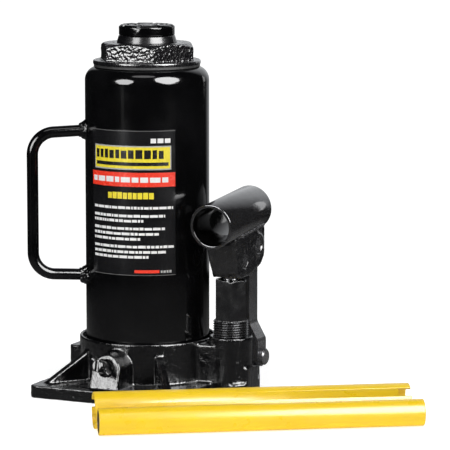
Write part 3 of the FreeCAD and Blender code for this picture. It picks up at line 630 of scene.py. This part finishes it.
def make_tubes(finish):
    """The handle socket and the two loose sections, with the eased rims of sawn and painted tube."""
    rows = (
        ("socket_tube", "handle_socket", SOCKET_WALL, 0.5 * MM),
        ("large_handle_section", "large_section_bore", SECTION_WALL, 0.45 * MM),
        ("small_handle_section", "small_section_bore", SECTION_WALL, 0.45 * MM),
    )
    for node, mount_name, wall, rim in rows:
        mount = MOUNTS[mount_name]
        inner = mount["dims"]["r_mm"] * MM
        length = mount["dims"]["length_mm"] * MM
        mesh = laid(tube_mesh(node, inner + wall, inner, length, rim), mount["pos_m"], mount["axis"])
        if node == "large_handle_section":
            mesh = notched(mesh, mount)      # painted inside as well, so its bore gets no painted shade
        else:
            # the other bores are marked for painted shade
            mark_bore_shade(mesh, mount)
        in_hand = node == "socket_tube"
        material = tube_black() if in_hand else finish[SLOT_OF[node]]
        piece = add_piece(node + "_tube", mesh, BODY_OF[node], material, (node,))
        piece.visible_glossy = in_hand       # the black paint shows no yellow


def notched(mesh, mount):
    """The tube with the slot across each end that fits the release valve's bar."""
    axis = Vector(mount["axis"])
    for end, roll in NOTCH_ROLLS:
        shape = bmesh.new()
        bmesh.ops.create_cube(shape, size=1.0)
        cutter_mesh = bpy.data.meshes.new("notch_cutter")
        shape.to_mesh(cutter_mesh)
        shape.free()
        cutter = bpy.data.objects.new("notch_cutter", cutter_mesh)
        bpy.context.scene.collection.objects.link(cutter)
        cutter.scale = (2 * NOTCH_DEPTH, 40 * MM, NOTCH_WIDTH)
        cutter.rotation_euler = (math.radians(roll), 0, math.atan2(axis.y, axis.x))
        cutter.location = Vector(mount["pos_m"]) + axis * end * mount["dims"]["length_mm"] * MM / 2
        bpy.context.view_layer.update()
        mesh = baked(mesh, ("BOOLEAN", {"operation": "DIFFERENCE", "solver": "EXACT", "object": cutter}))
        bpy.data.objects.remove(cutter)
    for face in mesh.polygons:
        face.use_smooth = abs(face.normal.dot(axis)) < 0.2
    return mesh


def threaded_mesh(name, radius, depth, pitch, low, high, plain, x=0.0):
    """Upright closed bar with a true spiral thread, which starts a plain length above its foot."""
    shape = bmesh.new()
    segments, per_pitch = 64, 10
    depths = []
    steps = int((high - low) / pitch * per_pitch)
    rings = []
    for i in range(steps + 1):
        z = low + (high - low) * i / steps
        fade = min(max((z - low - plain) / (pitch / 2), 0.0), 1.0)
        ring = []
        for k in range(segments):
            turn = 2 * math.pi * k / segments
            phase = (z / pitch - k / segments) % 1.0
            cut = max(0.0, 1.0 - 1.25 * abs(2 * phase - 1.0))
            reach = radius - depth * cut * fade
            depths.append(cut * fade)
            ring.append(shape.verts.new((x + reach * math.cos(turn), reach * math.sin(turn), z)))
        rings.append(ring)
    for ring, above in zip(rings, rings[1:]):
        for k in range(segments):
            j = (k + 1) % segments
            shape.faces.new((ring[k], ring[j], above[j], above[k]))
    shape.faces.new(list(reversed(rings[0])))
    shape.faces.new(rings[-1])
    mesh = bpy.data.meshes.new(name)
    shape.to_mesh(mesh)
    shape.free()
    # each point's groove depth, which the thread's material turns into painted shade
    mesh.attributes.new("groove_shade", "FLOAT", "POINT").data.foreach_set("value", depths)
    smooth(mesh)
    return mesh


def make_threads(finish):
    """Extension screw and pump cylinder: softened CAD tops on bars with true spiral threads."""
    saddle_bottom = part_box("ram")[1].z + 0.1 * MM
    cast_copy("extension_screw", 0.4 * MM, 3, finish["black_paint"], lumps=0.10 * MM, lump_size=4 * MM,
              keep=lambda co: co.z > saddle_bottom - 0.5 * MM)
    slot = SLOT_OF["extension_screw"]
    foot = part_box("extension_screw")[0].z
    bar = threaded_mesh("screw_thread", SCREW_R, SCREW_DEPTH, SCREW_PITCH, foot, saddle_bottom + 0.2 * MM,
                        SCREW_PLAIN)
    add_piece("screw_thread", bar, BODY_OF["extension_screw"], finish[slot], ("extension_screw",))

    low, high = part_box("pump_cylinder")
    cast_copy("pump_cylinder", 0.3 * MM, 2, finish["black_steel"], lumps=0.05 * MM,
              keep=lambda co: co.z > HEXAGON_BOTTOM - 0.4 * MM)
    bar = threaded_mesh("pump_thread", PUMP_THREAD_R, PUMP_THREAD_DEPTH, PUMP_THREAD_PITCH,
                        HEXAGON_BOTTOM - PUMP_THREAD_LENGTH, HEXAGON_BOTTOM, 0.0, (low.x + high.x) / 2)
    add_piece("pump_thread", bar, BODY_OF["pump_cylinder"], bright_thread(),
              ("pump_cylinder",))


# ---- label ----------------------------------------------------------------------------------
LABEL_MIDDLE = 10.0                      # degrees from the operator's side towards the pump
PRINT_R = TANK_R + 0.27 * MM             # face of the film
PRINT_THICK = 0.04 * MM


class Ink:
    """Patches of one colour on the label, each a thin closed sheet bent round the tank."""

    def __init__(self, name, colour):
        self.name = name
        self.colour = colour
        self.shape = bmesh.new()

    def patch(self, left, right, low, high, layer=0):
        """Patch between two angles from the label's middle and two heights in mm."""
        inner = PRINT_R - 0.01 * MM
        outer = PRINT_R + PRINT_THICK * (layer + 1)
        steps = max(1, int((right - left) / 2.0))
        columns = []
        for k in range(steps + 1):
            turn = math.radians(LABEL_MIDDLE + left + (right - left) * k / steps)
            columns.append([self.shape.verts.new((r * math.sin(turn), -r * math.cos(turn), z * MM))
                            for r, z in ((outer, low), (outer, high), (inner, high), (inner, low))])
        for one, other in zip(columns, columns[1:]):
            for i in range(4):
                j = (i + 1) % 4
                self.shape.faces.new((one[i], other[i], other[j], one[j]))
        self.shape.faces.new(columns[0])
        self.shape.faces.new(list(reversed(columns[-1])))

    def words(self, left, right, middle, tall, chance, word=(1.6, 8.0), gap=0.8, layer=0):
        """A line of plain blocks in place of words."""
        start = left
        while start < right - word[0] / 2:
            end = min(start + chance.uniform(*word), right)
            droop = chance.uniform(0, 0.12) * tall
            self.patch(start, end, middle - tall / 2, middle + tall / 2 - droop, layer)
            start = end + gap

    def done(self, slot):
        bmesh.ops.recalc_face_normals(self.shape, faces=self.shape.faces)
        mesh = bpy.data.meshes.new(self.name)
        self.shape.to_mesh(mesh)
        self.shape.free()
        add_piece(self.name, mesh, BODY_OF["tank_label"], printed(self.name, self.colour))


def make_label():
    """Coloured bands and blocks; no lettering."""
    chance = random.Random(7)
    low, high = (height.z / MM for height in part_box("tank_label"))
    white = Ink("label_print_white", (0.80, 0.80, 0.80))
    grey = Ink("label_print_grey", (0.42, 0.42, 0.42))
    dim = Ink("label_print_edge", (0.10, 0.10, 0.10))
    yellow = Ink("label_print_yellow", (0.80, 0.66, 0.035))
    red = Ink("label_print_red", (0.86, 0.045, 0.02))
    black = Ink("label_print_black", (0.010, 0.010, 0.010))
    edge = 42.5
    for height in (low + 0.3, high - 0.5):
        dim.patch(-edge, edge, height - 0.22, height + 0.22)
    white.words(19.6, 39.8, 160.8, 2.9, chance, word=(4.4, 6.0), gap=1.3)
    # plate with a border, a row of blocks and a bar
    grey.patch(-38.6, 38.6, 142.7, 157.6)
    yellow.patch(-37.6, 37.6, 143.5, 156.8, 1)
    black.words(-36.0, 34.5, 152.4, 5.6, chance, word=(3.6, 6.4), gap=1.6, layer=2)
    black.patch(-36.0, 36.0, 145.2, 147.4, 2)
    # red band
    red.patch(-edge, edge, 132.2, 141.0)
    white.words(-40.5, 38.0, 136.6, 3.4, chance, word=(4.0, 11.0), gap=1.6, layer=1)
    # heading and lines
    yellow.words(-21.7, 24.3, 126.7, 4.2, chance, word=(3.6, 4.6), gap=0.8)
    rows = ((119.1, 40.3), (114.0, 32.6), (110.9, 12.7), (106.1, 32.4), (102.8, 26.7), (99.6, 11.3),
            (94.8, 40.9), (91.5, 34.8), (88.4, 18.1))
    for middle, right in rows:
        white.words(-39.7, right, middle, 1.7, chance)
    red.patch(4.4, 27.1, 78.4, 80.3)
    grey.words(28.4, 39.3, 79.3, 1.6, chance, word=(1.6, 2.4))
    for ink in (white, grey, dim, yellow, red, black):
        ink.done("label_film")


def make_socket_welds(finish):
    """Lumpy beads where the cheeks of the yoke meet the socket tube."""
    mount = MOUNTS["handle_socket"]
    middle, way = Vector(mount["pos_m"]), Vector(mount["axis"])
    low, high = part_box("socket_yoke")
    outer = mount["dims"]["r_mm"] * MM + SOCKET_WALL
    across = (high.x - low.x) / 2 - 0.6 * MM
    drop = math.sqrt(outer ** 2 - across ** 2)
    down = Vector((1, 0, 0)).cross(way).normalized()
    if down.z > 0:
        down = -down
    for side, name in ((-1, "left"), (1, "right")):
        curve = bpy.data.curves.new("socket_weld_" + name, "CURVE")
        curve.dimensions = "3D"
        curve.bevel_depth = WELD_R
        curve.bevel_resolution = 6
        curve.use_fill_caps = True
        line = curve.splines.new("POLY")
        steps = 80
        line.points.add(steps)
        for i, point in enumerate(line.points):
            along = WELD_START + (WELD_END - WELD_START) * i / steps
            place = middle + way * along + down * drop + Vector((side * across, 0, 0))
            point.co = (*place, 1)
            point.radius = 0.85 + 0.25 * noise.noise(place / (1.6 * MM))
        holder = bpy.data.objects.new("holder", curve)
        bpy.context.scene.collection.objects.link(holder)
        evaluated = holder.evaluated_get(bpy.context.evaluated_depsgraph_get())
        mesh = bpy.data.meshes.new_from_object(evaluated)
        bpy.data.objects.remove(holder)
        smooth(mesh)
        slot = SLOT_OF["socket_yoke"]
        add_piece("socket_weld_" + name, mesh, BODY_OF["socket_yoke"], finish[slot])


def main():
    make_camera()
    make_lights()
    make_world()
    make_floor()
    bpy.context.scene.view_settings.view_transform = "Standard"
    finish = finish_nodes()
    make_castings(finish)
    make_tubes(finish)
    make_threads(finish)
    make_socket_welds(finish)
    make_label()


main()
